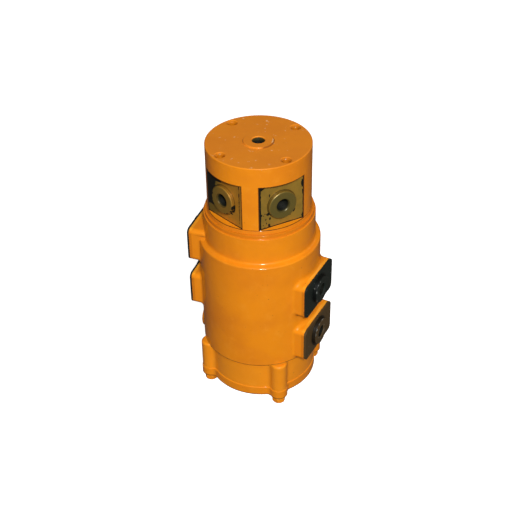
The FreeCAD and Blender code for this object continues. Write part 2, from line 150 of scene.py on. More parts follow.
def soften(bm, width, wanted, segments=2):
    """Rounds the outside edges, as paint and a file leave them."""
    edges = []
    for edge in bm.edges:
        middle = (edge.verts[0].co + edge.verts[1].co) / 2
        if wanted(middle, math.degrees(edge.calc_face_angle(0))):
            edges.append(edge)
    bmesh.ops.bevel(
        bm, geom=edges, offset=width * MM, offset_type="OFFSET", segments=segments, profile=0.5,
        affect="EDGES", clamp_overlap=False, loop_slide=True, material=-1)


def around_axis(point):
    """Distance from the axis of rotation, in millimetres."""
    return math.hypot(point.x, point.y) / MM


def as_object(bm, name):
    mesh = bpy.data.meshes.new(name)
    bm.to_mesh(mesh)
    bm.free()
    thing = bpy.data.objects.new(name, mesh)
    bpy.context.scene.collection.objects.link(thing)
    return thing


def stand_for(bm, name, node, body, slot, *materials):
    """Shows the mesh in place of the node, on the body that carries it."""
    piece = as_object(bm, name)
    piece.data.shade_smooth()
    piece.data.set_sharp_from_angle(angle=math.radians(SHADED_SHARP_ANGLE))
    weighted = piece.modifiers.new("even_shading", "WEIGHTED_NORMAL")
    weighted.keep_sharp = True
    weighted.weight = 80
    for material in materials:
        piece.data.materials.append(material)
    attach(piece, body)
    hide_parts(node)


# Colours

def rgb(red, green, blue):
    """A colour picked as screen values of 0 to 255, as the linear colour a shader takes."""
    linear = []
    for value in (red, green, blue):
        share = value / 255
        linear.append(share / 12.92 if share <= 0.04045 else ((share + 0.055) / 1.055) ** 2.4)
    return (*linear, 1.0)


WHITE = (1, 1, 1, 1)

# Enamel, what dirt and wear make of it, and the painted shade and light laid on it
ORANGE = rgb(242, 145, 17)
ORANGE_DEEP = rgb(222, 125, 22)
ORANGE_PALE = rgb(250, 164, 48)
# Rust in pits and dark strokes, and also painted shade underneath and below the barrel's step
RUST_AND_SHADE = rgb(92, 40, 16)
CORNER_SHADE = rgb(138, 66, 18)
FOOT_PAINTED_LIGHT = rgb(255, 162, 30)
PAD_SIDE_SHADE = rgb(186, 98, 12)
PAD_TOP_LIGHT = rgb(255, 176, 44)
COLLAR_STEP_DARK = rgb(176, 84, 14)
COVER_RIM_LINE = rgb(84, 46, 20)
ROTOR_TOP_SHADE = rgb(230, 140, 46)
CHIPPED_PAINT = rgb(255, 206, 150)
HOLE_SHADE = rgb(168, 96, 16)
CROWN_SHADE = rgb(116, 60, 14)
CROWN_HIGHLIGHT = rgb(255, 222, 170)
HEAD_SEAM = rgb(120, 44, 12)
MASKING_LINE_AND_SHADE = rgb(62, 28, 12)
DUST_RING_ORANGE = rgb(196, 104, 18)

# Blackened iron on the housing's pads, with painted shade and glints
PAD_BLACK = rgb(27, 37, 34)
LOW_PAD_BROWN = rgb(82, 66, 40)
PAD_SCUFF = rgb(74, 66, 46)
PAD_CREASE_SHADE = rgb(8, 9, 9)
EDGE_GLINT = rgb(150, 155, 152)
PALE_SPECK = rgb(150, 150, 142)

# Zinc-yellow steel on the rotor's flats, two shades of each, and painted shade at the rings' feet,
# in the port mouths and deep in the bores
ZINC = (rgb(162, 128, 50), rgb(144, 117, 48))
LEFT_ZINC = (rgb(192, 136, 42), rgb(174, 124, 42))
LEFT_OLIVE = rgb(84, 82, 36)
RING_OLIVE = rgb(82, 82, 44)
LEFT_RING_OLIVE = rgb(122, 100, 42)
RING_FOOT_SHADE = rgb(36, 26, 12)
PORT_MOUTH_SHADE = rgb(48, 48, 26)
DEEP_BORE_SHADE = rgb(16, 17, 14)
BLACK_PAINT = rgb(26, 27, 22)

# Threads: dark as painted shade inside the holes, and zinc-yellow in their first turns
THREAD_DARK = (rgb(10, 12, 12), rgb(27, 28, 20))
THREAD_ZINC = rgb(70, 62, 28)


# Materials

class Nodes:
    """A node tree being built."""

    def __init__(self, tree):
        self.tree = tree
        tree.nodes.clear()

    def add(self, kind, inputs=None, **settings):
        node = self.tree.nodes.new(kind)
        for key, value in settings.items():
            setattr(node, key, value)
        for key, value in (inputs or {}).items():
            if isinstance(value, bpy.types.NodeSocket):
                self.tree.links.new(value, node.inputs[key])
            else:
                node.inputs[key].default_value = value
        return node

    def math(self, operation, first, *others):
        """The operation on the values, from left to right."""
        for other in others or (0.0,):
            node = self.add("ShaderNodeMath", {0: first, 1: other}, operation=operation)
            first = node.outputs[0]
        return first

    def vector(self, operation, first, second, output=0):
        node = self.add("ShaderNodeVectorMath", {0: first, 1: second}, operation=operation)
        return node.outputs[output]

    def both(self, *masks):
        return self.math("MULTIPLY", *masks)

    def either(self, *masks):
        return self.math("MAXIMUM", *masks)

    def opposite(self, mask):
        return self.math("SUBTRACT", 1.0, mask)


class Finish(Nodes):
    """A material being built from nodes on Object coordinates."""

    def __init__(self, name):
        self.material = bpy.data.materials.new(name)
        self.material.use_nodes = True
        super().__init__(self.material.node_tree)
        places = self.add("ShaderNodeTexCoord").outputs
        self.coords = places["Object"]
        # 1 where the surface looks up, 0 where it stands and -1 where it looks down
        self.facing_up = self.axes(places["Normal"])[2]

    def noise(self, scale, detail=3.0, roughness=0.55, distortion=0.0, where=None, output="Fac"):
        node = self.add("ShaderNodeTexNoise", {
            "Vector": where or self.coords, "Scale": scale, "Detail": detail,
            "Roughness": roughness, "Distortion": distortion})
        return node.outputs[output]

    def band(self, value, low, high):
        """0 below low and 1 above high, or the other way round where low is the larger."""
        node = self.add("ShaderNodeMapRange", {
            "Value": value, "From Min": low, "From Max": high, "To Min": 0.0, "To Max": 1.0},
            interpolation_type="SMOOTHSTEP")
        return node.outputs["Result"]

    def span(self, length, low, high):
        """A band of a length, with its limits in millimetres."""
        return self.band(length, low * MM, high * MM)

    def stripe(self, length, low, full_low, full_high, high):
        """1 between the middle two limits and 0 outside the outer two, in millimetres."""
        return self.both(self.span(length, low, full_low), self.span(length, high, full_high))

    def mix_colour(self, amount, first, second):
        node = self.add("ShaderNodeMix", {0: amount, 6: first, 7: second},
                        data_type="RGBA", clamp_factor=True)
        return node.outputs[2]

    def over(self, colour, mask, tint, strength=1.0):
        """The colour with this tint laid over it where the mask is 1."""
        return self.mix_colour(self.both(mask, strength), colour, tint)

    def bump(self, height, distance, strength=1.0, normal=None):
        inputs = {"Height": height, "Distance": distance, "Strength": strength}
        if normal is not None:
            inputs["Normal"] = normal
        return self.add("ShaderNodeBump", inputs).outputs["Normal"]

    def axes(self, where=None):
        return self.add("ShaderNodeSeparateXYZ", {0: where or self.coords}).outputs[:3]

    def point(self, x, y, z):
        return self.add("ShaderNodeCombineXYZ", {0: x, 1: y, 2: z}).outputs[0]

    def scaled(self, scale):
        """Object coordinates stretched, so that noise on them becomes strokes."""
        return self.add("ShaderNodeMapping", {"Vector": self.coords, "Scale": scale}).outputs[0]

    def turned(self, angle):
        """Object coordinates turned so that this direction round the axis is +X."""
        return self.add("ShaderNodeMapping", {
            "Vector": self.coords, "Rotation": (0, 0, math.radians(-angle))}).outputs[0]

    def from_axis(self):
        """Distance from the axis of rotation, in metres."""
        x, y, z = self.axes()
        return self.vector("LENGTH", self.point(x, y, 0.0), (0, 0, 0), "Value")

    def on_face(self, angle, inner):
        """Whether a point lies further out than this on one side, and its place across and up."""
        out, across, up = self.axes(self.turned(angle))
        return self.span(out, inner, inner + 1.0), across, up

    def from_port(self, angle, level, inner):
        """Distance from a port, measured on its face; over a metre on the other faces."""
        here, across, up = self.on_face(angle, inner)
        away = self.vector("DISTANCE", self.point(0.0, across, up), (0, 0, level * MM), "Value")
        return self.math("ADD", away, self.opposite(here))

    def waver(self, scale, detail, reach, roughness=0.55):
        """Noise around zero, over this range in metres."""
        noise = self.noise(scale, detail, roughness)
        return self.math("MULTIPLY", self.math("SUBTRACT", noise, 0.5), reach)

    def wavering(self, value, scale, detail, reach):
        return self.math("ADD", value, self.waver(scale, detail, reach))

    def rough(self, noise, share, base):
        return self.math("ADD", self.math("MULTIPLY", noise, share), base)

    def shader(self, inputs):
        return self.add("ShaderNodeBsdfPrincipled", inputs).outputs["BSDF"]

    def blend(self, mask, first, second):
        return self.add("ShaderNodeMixShader", {0: mask, 1: first, 2: second}).outputs[0]

    def done(self, surface):
        self.add("ShaderNodeOutputMaterial", {"Surface": surface})
        return self.material


def enamel_colour(finish):
    """Brushed-on orange: paler streaks and rusty pits, painted shade in corners and on surfaces
    that look down, and painted light on upward ledges in hollows.
    """
    cloud = finish.noise(14.0, 3.0)
    colour = finish.over(ORANGE, finish.band(cloud, 0.40, 0.72), ORANGE_DEEP, 0.55)
    streak = finish.noise(70.0, 4.0, 0.6, 0.4)
    colour = finish.over(colour, finish.band(streak, 0.52, 0.78), ORANGE_PALE, 0.30)
    pits = finish.band(finish.noise(230.0, 2.0, 0.5), 0.735, 0.76)
    colour = finish.over(colour, pits, RUST_AND_SHADE, 0.45)
    # Painted shade: darker in corners and hollows found by ambient occlusion, less on surfaces
    # that look up
    corner = finish.add("ShaderNodeAmbientOcclusion", {"Distance": 4.0 * MM}, samples=12)
    openness = corner.outputs["AO"]
    ledge = finish.both(finish.band(finish.facing_up, 0.50, 0.85), 0.85)
    corner_shade = finish.both(finish.band(openness, 0.62, 0.36), finish.opposite(ledge))
    colour = finish.over(colour, corner_shade, CORNER_SHADE, 0.70)
    # Painted light: paler on surfaces that look up, in hollows
    painted_light_on_ledges = finish.both(ledge, finish.band(openness, 0.75, 0.40))
    colour = finish.over(colour, painted_light_on_ledges, ORANGE_PALE)
    # Painted shade on surfaces that look down; the cover's own underside stays clean
    shade_underneath = finish.both(
        finish.band(finish.facing_up, -0.30, -0.75), finish.span(finish.axes()[2], 1.0, 2.0))
    return finish.over(colour, shade_underneath, RUST_AND_SHADE, 0.80)


def enamel(finish, colour):
    """Thick glossy paint in this colour, with brush marks and orange peel."""
    streak = finish.noise(70.0, 4.0, 0.6, 0.4)
    normal = finish.bump(finish.noise(38.0, 2.0), 1.6 * MM, 0.40)
    normal = finish.bump(finish.noise(420.0, 2.0), 0.12 * MM, 0.5, normal)
    return finish.shader({
        "Base Color": colour, "Roughness": finish.rough(streak, 0.20, 0.30), "Normal": normal,
        "Specular IOR Level": 0.15,
        "Coat Weight": 0.44, "Coat Roughness": 0.06, "Coat IOR": 1.75})


def casting_colour(finish, furthest):
    """Enamel on the casting: painted shade under the barrel's step and on the pads' sides, painted
    light low down and on the pads' tops, dark strokes on the pads, and darker on the collar's
    step.
    """
    colour = enamel_colour(finish)
    x, y, z = finish.axes()
    distance = finish.from_axis()
    wavy = finish.wavering(z, 90.0, 3.0, 1.4 * MM)
    upright = finish.band(finish.facing_up, 0.45, 0.10)
    # Painted shade under the barrel's overhang: on the lower wall below the step and along the
    # barrel's lower edge
    below_step = finish.both(
        finish.span(distance, LOWER_R + 2.0, LOWER_R + 1.2),
        finish.stripe(
            wavy, STEP_LEVEL - 6.7, STEP_LEVEL - 5.1, STEP_LEVEL + 1.7, STEP_LEVEL + 2.7))
    step_edge = finish.both(
        finish.span(distance, BODY_R + 2.1, BODY_R + 1.1),
        finish.stripe(
            wavy, STEP_LEVEL - 1.3, STEP_LEVEL - 0.9, STEP_LEVEL + 0.7, STEP_LEVEL + 1.3))
    seam_and_shade = finish.both(finish.either(below_step, step_edge), upright)
    colour = finish.over(colour, seam_and_shade, RUST_AND_SHADE, 0.80)
    # Painted light: the lower section below the step made paler
    foot = finish.span(z, STEP_LEVEL - 0.8, STEP_LEVEL - 1.8)
    colour = finish.over(colour, foot, FOOT_PAINTED_LIGHT, 0.40)

    pad = finish.span(furthest, BODY_R + 0.1, BODY_R + 1.6)
    # Painted shade: the pads' upright sides darker
    colour = finish.over(colour, finish.both(pad, upright), PAD_SIDE_SHADE, 0.45)
    # Painted light: the pads' tops paler
    painted_light_on_pad_tops = finish.both(pad, finish.band(finish.facing_up, 0.6, 0.9))
    colour = finish.over(colour, painted_light_on_pad_tops, PAD_TOP_LIGHT, 0.6)
    strokes = finish.noise(1.0, 2.0, 0.5, where=finish.scaled((620.0, 620.0, 90.0)))
    off_the_drain = finish.either(
        finish.span(z, DRAIN_LEVEL + 28.0, DRAIN_LEVEL + 32.0),
        finish.span(finish.either(x, y), BODY_R + 1.6, BODY_R + 2.6))
    strokes = finish.both(
        finish.band(strokes, 0.60, 0.66), finish.span(furthest, BODY_R + 2.6, BODY_R + 4.3),
        upright, off_the_drain)
    colour = finish.over(colour, strokes, RUST_AND_SHADE, 0.6)

    # Darker on the land of the collar's step
    collar_step_dark = finish.both(
        finish.span(z, COLLAR_STEP_LEVEL - 0.4, COLLAR_STEP_LEVEL + 0.2),
        finish.span(distance, COLLAR_R - 0.3, COLLAR_R - 1.3))
    return finish.over(colour, collar_step_dark, COLLAR_STEP_DARK, 0.35)


def pad_metal(finish):
    """The pads' machined faces, gone black, and browner low down, with painted shade round the
    ring bosses and painted glints on their edges.
    """
    z = finish.axes()[2]
    scuff = finish.noise(140.0, 5.0, 0.7)
    dark = finish.mix_colour(finish.span(z, 135.0, 150.0), LOW_PAD_BROWN, PAD_BLACK)
    dark = finish.over(dark, finish.band(scuff, 0.54, 0.75), PAD_SCUFF, 0.35)
    port = finish.math("MINIMUM", *(
        finish.from_port(angle, level, PAD_INNER) for angle, level in HOUSING_PORTS))
    # Painted shade round the foot of each ring boss
    crease_shade = finish.stripe(port, RING_R - 1.0, RING_R - 0.4, RING_R + 2.2, RING_R + 3.2)
    dark = finish.over(dark, crease_shade, PAD_CREASE_SHADE, 0.85)
    # Painted highlights: glints on the edges of the ring bosses and the port mouths
    rims = finish.either(
        finish.stripe(port, RING_R - 1.7, RING_R - 1.3, RING_R - 0.7, RING_R - 0.3),
        finish.stripe(port, 10.0, 10.4, 11.8, 12.2))
    painted_glints = finish.both(rims, finish.band(scuff, 0.54, 0.62))
    dark = finish.over(dark, painted_glints, EDGE_GLINT, 0.75)
    dark = finish.over(dark, finish.band(finish.noise(330.0, 1.0), 0.76, 0.79), PALE_SPECK)
    return finish.shader({
        "Base Color": dark, "Roughness": finish.rough(scuff, 0.3, 0.30), "Metallic": 0.0,
        "Normal": finish.bump(scuff, 0.2 * MM, 0.5), "Specular IOR Level": 0.25})


def casting_finish():
    """Enamel over the casting, with the machined pad faces left bare."""
    finish = Finish("orange_enamel_on_casting")
    x, y, z = finish.axes()
    to_the_left = finish.axes(finish.turned(LEFT))[0]
    furthest = finish.either(x, y, to_the_left)
    paint = enamel(finish, casting_colour(finish, furthest))
    bare = finish.span(
        finish.wavering(furthest, 300.0, 3.0, 1.6 * MM), DRAIN_FACE + 0.5, DRAIN_FACE + 0.8)
    return finish.done(finish.blend(bare, paint, pad_metal(finish)))


def cover_finish():
    """Enamel with a dark line along the lower rim."""
    finish = Finish("orange_enamel_on_cover")
    low = finish.wavering(finish.axes()[2], 90.0, 3.0, 1.4 * MM)
    rim = finish.both(finish.span(low, 2.8, 1.4), finish.band(finish.facing_up, -0.90, -0.60))
    colour = finish.over(enamel_colour(finish), rim, COVER_RIM_LINE, 0.85)
    return finish.done(enamel(finish, colour))


def fastener_finish():
    finish = Finish("orange_enamel_on_bolts")
    return finish.done(enamel(finish, enamel_colour(finish)))


def dust_ring_finish():
    finish = Finish("orange_enamel_on_rubber")
    colour = finish.mix_colour(0.40, enamel_colour(finish), DUST_RING_ORANGE)
    return finish.done(enamel(finish, colour))


def flat_marks(finish, angle, marks):
    """Black paint on one flat. Each mark is an oval in millimetres, (across, up, half width,
    half height, raggedness); ragged ones break up into specks."""
    here, across, up = finish.on_face(angle, FLAT_INNER)
    grain = finish.noise(330.0, 4.0, 0.6, output="Color")
    shake = finish.vector("SUBTRACT", grain, (0.5, 0.5, 0.5))
    shake = finish.vector("MULTIPLY", shake, (3.5 * MM,) * 3)
    place = finish.vector("ADD", finish.point(across, up, 0.0), shake)
    uneven = finish.math("SUBTRACT", finish.noise(210.0, 3.0, 0.6), 0.5)
    ovals = []
    for mark_across, mark_up, half_width, half_height, raggedness in marks:
        away = finish.vector("SUBTRACT", place, (mark_across * MM, mark_up * MM, 0))
        away = finish.vector("DIVIDE", away, (half_width * MM, half_height * MM, 1))
        inside = finish.opposite(finish.vector("LENGTH", away, (0, 0, 0), "Value"))
        inside = finish.math("ADD", inside, finish.math("MULTIPLY", uneven, raggedness))
        ovals.append(finish.band(inside, -0.08, 0.10))
    return finish.both(finish.either(*ovals), here)


def flat_outline(finish, angle):
    """A dark line on the paint just outside a flat, where it was masked off; along the top, on the
    head's rim, it is partly painted shade.
    """
    here, across, up = finish.on_face(angle, FLAT_INNER)
    side = finish.math("ABSOLUTE", across)
    return finish.both(
        here, finish.span(side, HALF_FLAT + 0.9, HALF_FLAT + 0.3),
        finish.stripe(up, FLAT_LOW - 0.7, FLAT_LOW - 0.3, FLAT_HIGH + 0.7, FLAT_HIGH + 1.3))


def flat_edges(finish, angle, left, right, top, low):
    """Dark lines along a flat's edges, each as wide as given in millimetres; the line along the
    top is partly painted shade under the head's rim.
    """
    here, across, up = finish.on_face(angle, FLAT_INNER)
    shake = finish.waver(190.0, 4.0, 2.2 * MM, 0.6)
    across = finish.math("ADD", across, shake)
    up = finish.math("ADD", up, shake)
    soft = 0.8
    lines = finish.either(
        finish.span(across, left - HALF_FLAT, left - HALF_FLAT - soft),
        finish.span(across, HALF_FLAT - right, HALF_FLAT - right + soft),
        finish.span(up, FLAT_HIGH - top, FLAT_HIGH - top + soft),
        finish.span(up, FLAT_LOW + low, FLAT_LOW + low - soft))
    return finish.both(lines, here)


# Black paint on each flat, as flat_marks takes it: two flats are seen, three are guessed. The
# marks round the lower right of each seen ring are partly painted shadow of the ring.
LEFT_FLAT_MARKS = (
    (-35, 352, 13, 26, 0.7), (-29, 370, 12, 9, 0.6), (-16, 373, 11, 3.2, 0.6),
    (-24.5, 341, 5.5, 13, 0.9), (-22.0, 359, 4.5, 9, 1.5), (-30, 328.5, 9, 2.6, 0.9),
    (21.8, 341, 1.4, 5.4, 0.5), (19.3, 334.8, 2.2, 3.0, 0.5), (13.8, 328.8, 4.2, 1.7, 0.4),
    (8.0, 326.0, 4.2, 1.2, 0.3), (31.6, 348, 0.7, 33, 1.1), (31.4, 379, 1.0, 3.5, 0.4))
RIGHT_FLAT_MARKS = (
    (-33.5, 380, 6.5, 3.0, 0.3), (-32.6, 336, 1.9, 2.2, 0.5), (-28.4, 334.4, 0.9, 0.9, 0.3),
    (-26.6, 337, 0.9, 0.8, 0.3), (-21.4, 335.4, 3.4, 2.2, 0.6), (-18.6, 327, 1.4, 2.4, 0.6),
    (-20, 315.4, 1.9, 3.8, 0.8), (-25.5, 327, 0.9, 1.0, 0.6), (-24, 320.5, 1.0, 1.4, 0.6),
    (-29.4, 318.4, 1.0, 1.0, 0.6), (-27, 313.6, 1.6, 1.2, 0.8), (34.2, 371, 2.6, 6.0, 0.8),
    (34.8, 358, 1.6, 5.0, 0.7), (34.6, 317, 1.9, 4.5, 0.5), (19.8, 331, 2.2, 4.0, 0.5),
    (10.4, 324.6, 4.2, 1.8, 0.9), (-19.0, 365.5, 0.9, 2.6, 0.3))
HIDDEN_FLAT_MARKS = (
    (-31, 360, 9, 22, 0.9), (18, 318, 12, 5, 1.4), (28, 372, 6, 9, 1.2), (-12, 376, 14, 4, 1.0))

# The marks on each flat, and the widths of the black lines along its left, right, top and foot
HIDDEN_FLAT = (HIDDEN_FLAT_MARKS, (2.0, 1.7, 1.6, 1.6))
FLAT_PAINT = {
    LEFT_FLAT: (LEFT_FLAT_MARKS, (2.4, 1.4, 1.5, 2.3)),
    RIGHT_FLAT: (RIGHT_FLAT_MARKS, (3.9, 2.2, 1.9, 2.5)),
}


def rotor_colour(finish):
    """Enamel on the head: chipped on top, dark in the seams and around the masked flats, with
    painted shade on the top face, in its holes and on the crown's edge, and a painted highlight on
    the crown.
    """
    colour = enamel_colour(finish)
    x, y, z = finish.axes()
    distance = finish.from_axis()
    on_top = finish.span(z, ROTOR_TOP - 0.8, ROTOR_TOP - 0.2)
    # Painted shade: the top face a little darker
    colour = finish.over(colour, on_top, ROTOR_TOP_SHADE, 0.50)
    chips = finish.both(
        on_top, finish.band(finish.noise(150.0, 2.0), 0.655, 0.69),
        finish.band(finish.noise(22.0, 2.0), 0.47, 0.55))
    colour = finish.over(colour, chips, CHIPPED_PAINT, 0.65)
    # Painted shade inside the holes in the top
    shade_in_holes = finish.both(
        finish.stripe(z, FLAT_HIGH + 1.0, FLAT_HIGH + 3.0, ROTOR_TOP - 1.0, ROTOR_TOP - 0.4),
        finish.span(distance, ROTOR_R - 1.1, ROTOR_R - 1.5))
    colour = finish.over(colour, shade_in_holes, HOLE_SHADE, 0.60)
    # Painted shade: a dark arc on one side of the crown's edge, fainter on the other
    crown_shade_line = finish.both(
        finish.stripe(distance, CROWN_R - 1.2, CROWN_R - 0.6, CROWN_R + 0.3, CROWN_R + 1.0),
        finish.either(
            finish.span(x, 12.5, 17.5), finish.both(finish.span(x, -12.0, -19.0), 0.5)))
    colour = finish.over(colour, crown_shade_line, CROWN_SHADE, 0.75)
    # Painted highlight: a pale spot on one side of the crown
    painted_crown_highlight = finish.both(
        finish.stripe(distance, CROWN_R - 2.5, CROWN_R - 1.9, CROWN_R - 1.4, CROWN_R - 0.9),
        finish.span(x, 16.0, 19.5), finish.span(y, -1.0, 3.0),
        finish.span(z, CROWN_TOP - 1.4, CROWN_TOP - 0.8))
    colour = finish.over(colour, painted_crown_highlight, CROWN_HIGHLIGHT, 0.8)
    seam_and_shade = finish.both(
        finish.span(
            finish.wavering(z, 120.0, 2.0, 1.0 * MM), FLAT_LOW + 0.4, FLAT_LOW - 0.2),
        finish.span(distance, ROTOR_R - 0.7, ROTOR_R - 0.3))
    colour = finish.over(colour, seam_and_shade, HEAD_SEAM, 0.85)
    # Masking lines round the flats, partly painted shade along their tops
    outline = finish.both(
        finish.either(*(flat_outline(finish, angle) for angle in FLAT_ANGLES)),
        finish.span(distance, ROTOR_R - 0.9, ROTOR_R - 0.5))
    return finish.over(colour, outline, MASKING_LINE_AND_SHADE, 0.85)


def flat_metal(finish):
    """The flats' zinc-yellow steel with its black blots, and painted shade at the rings' feet, in
    the port mouths and deep in the bores; the left flat is warmer.
    """
    distance = finish.from_axis()
    mottle = finish.noise(60.0, 5.0, 0.65)
    patches = finish.band(mottle, 0.35, 0.7)
    on_left, across, up = finish.on_face(LEFT_FLAT, FLAT_INNER)
    zinc = finish.mix_colour(
        on_left, finish.mix_colour(patches, *ZINC), finish.mix_colour(patches, *LEFT_ZINC))
    olive_side = finish.both(on_left, finish.span(across, 2.0, -20.0))
    zinc = finish.over(zinc, olive_side, LEFT_OLIVE, 0.8)

    port = finish.math("MINIMUM", *(
        finish.from_port(angle, ROTOR_PORT_LEVEL, FLAT_INNER) for angle in FLAT_ANGLES))
    ring = finish.span(port, RING_R + 0.2, RING_R - 1.2)
    ring_tint = finish.mix_colour(on_left, RING_OLIVE, LEFT_RING_OLIVE)
    zinc = finish.over(zinc, ring, ring_tint, 0.75)
    # Painted shade at the foot of each ring boss
    ring_foot_shade = finish.stripe(port, RING_R - 0.3, RING_R + 0.2, RING_R + 0.8, RING_R + 1.8)
    zinc = finish.over(zinc, ring_foot_shade, RING_FOOT_SHADE, 0.7)
    # Painted shade in the port mouths and deep in the bores
    zinc = finish.over(zinc, finish.span(port, 11.6, 10.6), PORT_MOUTH_SHADE, 0.6)
    zinc = finish.over(zinc, finish.span(distance, 64.0, 60.0), DEEP_BORE_SHADE)

    black = []
    for angle in FLAT_ANGLES:
        marks, edges = FLAT_PAINT.get(angle, HIDDEN_FLAT)
        black += [flat_marks(finish, angle, marks), flat_edges(finish, angle, *edges)]
    zinc = finish.over(zinc, finish.either(*black), BLACK_PAINT)
    return finish.shader({
        "Base Color": zinc, "Roughness": finish.rough(mottle, 0.2, 0.30), "Metallic": 0.30,
        "Specular IOR Level": 0.35,
        "Normal": finish.bump(finish.noise(500.0, 3.0), 0.1 * MM, 0.5)})


def rotor_finish():
    """Enamel on the head, with the port flats left bare."""
    finish = Finish("orange_enamel_on_rotor")
    flat = finish.both(
        finish.span(finish.from_axis(), ROTOR_R - 0.15, ROTOR_R - 0.4),
        finish.stripe(
            finish.axes()[2], FLAT_LOW, FLAT_LOW + 0.4, FLAT_HIGH - 0.2, FLAT_HIGH + 0.2))
    paint = enamel(finish, rotor_colour(finish))
    return finish.done(finish.blend(flat, paint, flat_metal(finish)))


def thread_finish():
    """Dark inside, as painted shade in the holes; the first turns in the rotor keep the yellow of
    its flats.
    """
    finish = Finish("thread_in_shade")
    colour = finish.mix_colour(finish.noise(260.0, 3.0), *THREAD_DARK)
    z = finish.axes()[2]
    in_a_flat = finish.both(
        finish.span(finish.from_axis(), FLAT_RING_FACE - 4.9, FLAT_RING_FACE - 0.4),
        finish.span(z, 290.0, 300.0))
    in_the_crown = finish.span(z, CROWN_TOP - 8.8, CROWN_TOP - 2.8)
    colour = finish.over(colour, finish.either(in_a_flat, in_the_crown), THREAD_ZINC, 0.85)
    return finish.done(finish.shader({
        "Base Color": colour, "Roughness": 0.6, "Specular IOR Level": 0.10}))


def machined_finish(name, first, second, roughness, metallic):
    finish = Finish(name)
    grain = finish.noise(320.0, 4.0, 0.6)
    return finish.done(finish.shader({
        "Base Color": finish.mix_colour(finish.noise(40.0, 3.0), first, second),
        "Roughness": finish.rough(grain, 0.2, roughness), "Metallic": metallic,
        "Normal": finish.bump(grain, 0.05 * MM, 0.5)}))


# The outside pieces

def casting_edge(middle, angle):
    """Real edges only: the shoulder's round and the pads' roots are already smooth."""
    level = middle.z / MM
    out = around_axis(middle)
    on_shoulder = SHOULDER_LEVEL - 6 < level < SHOULDER_LEVEL + 9 and out < PAD_INNER + 6
    if out < COLLAR_R - 3.4 or on_shoulder:
        return False
    return angle > (SOFTENED_ANGLE if level > COLLAR_STEP_LEVEL - 9.4 else 42)


def build_casting(paint, thread_metal):
    bm = merged_copy("housing")
    soften(bm, 0.45, casting_edge)
    holes = [(angle, PAD_RING_FACE, level, HALF_INCH) for angle, level in HOUSING_PORTS]
    holes.append((LEFT, DRAIN_FACE, DRAIN_LEVEL, THREE_EIGHTHS))
    for angle, face, level, thread in holes:
        axis = radial(angle)
        cut_thread(bm, (axis * face + Vector((0, 0, level))) * MM, axis, thread)
    stand_for(
        bm, "casting", "housing", "housing_assembly", "orange_casting", paint, thread_metal)


def rotor_edge(middle, angle):
    """The head's outside edges and the crown's, but not those of the stem and the bores."""
    level = middle.z / MM
    outside = around_axis(middle) > 67 or level > ROTOR_TOP - 0.8
    return angle > SOFTENED_ANGLE and level > FLAT_LOW - 1.0 and outside


def build_rotor(paint, thread_metal):
    bm = merged_copy("rotor")
    soften(bm, 0.35, rotor_edge)
    for angle in FLAT_ANGLES:
        axis = radial(angle)
        centre = (axis * FLAT_RING_FACE + Vector((0, 0, ROTOR_PORT_LEVEL))) * MM
        cut_thread(bm, centre, axis, HALF_INCH)
    up = Vector((0, 0, 1))
    cut_thread(bm, up * CROWN_TOP * MM, up, HALF_INCH)
    stand_for(
        bm, "rotor_forging", "rotor", "rotor_assembly", "orange_rotor", paint, thread_metal)


def build_plain(node, name, body, slot, material, width, segments):
    bm = merged_copy(node)
    soften(bm, width, lambda middle, angle: angle > SOFTENED_ANGLE, segments)
    stand_for(bm, name, node, body, slot, material)


shaded_thread = thread_finish()
build_casting(casting_finish(), shaded_thread)
build_rotor(rotor_finish(), shaded_thread)
bolt_paint = fastener_finish()

# Node, name, body, slot, paint, width of the rounded edges in millimetres, and their segments
PLAIN_PIECES = (
    ("end_cover", "cover_plate", "housing_assembly", "orange_casting", cover_finish(), 0.5, 3),
    ("end_cover_bolts", "cover_bolts", "housing_assembly", "orange_fasteners", bolt_paint, 0.8, 3),
    ("end_cover_washers", "cover_washers", "housing_assembly", "orange_fasteners", bolt_paint,
     0.5, 3),
    ("end_cover_lock_washers", "cover_spring_washers", "housing_assembly", "orange_fasteners",
     bolt_paint, 0.3, 2),
    ("dust_seal", "dust_ring", "rotor_assembly", "painted_rubber", dust_ring_finish(), 0.3, 2),
)
for plain_piece in PLAIN_PIECES:
    build_plain(*plain_piece)


# The pieces inside: for each slot, its material's name, two colours, roughness and metal

INSIDE_LOOKS = {
    "black_rubber": ("black_nitrile", rgb(22, 22, 22), rgb(34, 34, 33), 0.55, 0.0),
    "bronze": ("bearing_bronze", rgb(176, 132, 74), rgb(150, 106, 56), 0.25, 1.0),
    "guide_plastic": ("fabric_resin", rgb(112, 80, 52), rgb(92, 62, 38), 0.55, 0.0),
    "seal_plastic": ("filled_seal_plastic", rgb(52, 128, 120), rgb(40, 108, 102), 0.4, 0.0),
    "bare_steel": ("turned_steel", rgb(168, 166, 162), rgb(140, 138, 134), 0.25, 1.0),
    "black_steel": ("blackened_steel", rgb(44, 44, 46), rgb(60, 58, 56), 0.35, 0.8),
}
inside_finishes = {slot: machined_finish(*look) for slot, look in INSIDE_LOOKS.items()}
for subpart in frame["record"]["subparts"]:
    inside_finish = inside_finishes.get(subpart["material_slot"])
    if inside_finish:
        node_mesh = frame["nodes"][subpart["node"]].data
        for index in range(len(node_mesh.materials)):
            node_mesh.materials[index] = inside_finish


# Floor, lights and camera

FLOOR_SEEN = (0.78, 0.78, 0.78, 1)
FLOOR_BOUNCE = (0.15, 0.13, 0.11, 1)
FLOOR_GLOW = 0.90
FLOOR_REACH = 12.0
ROOM_COLOUR = (1.0, 0.78, 0.62, 1)
ROOM_STRENGTH = 0.08

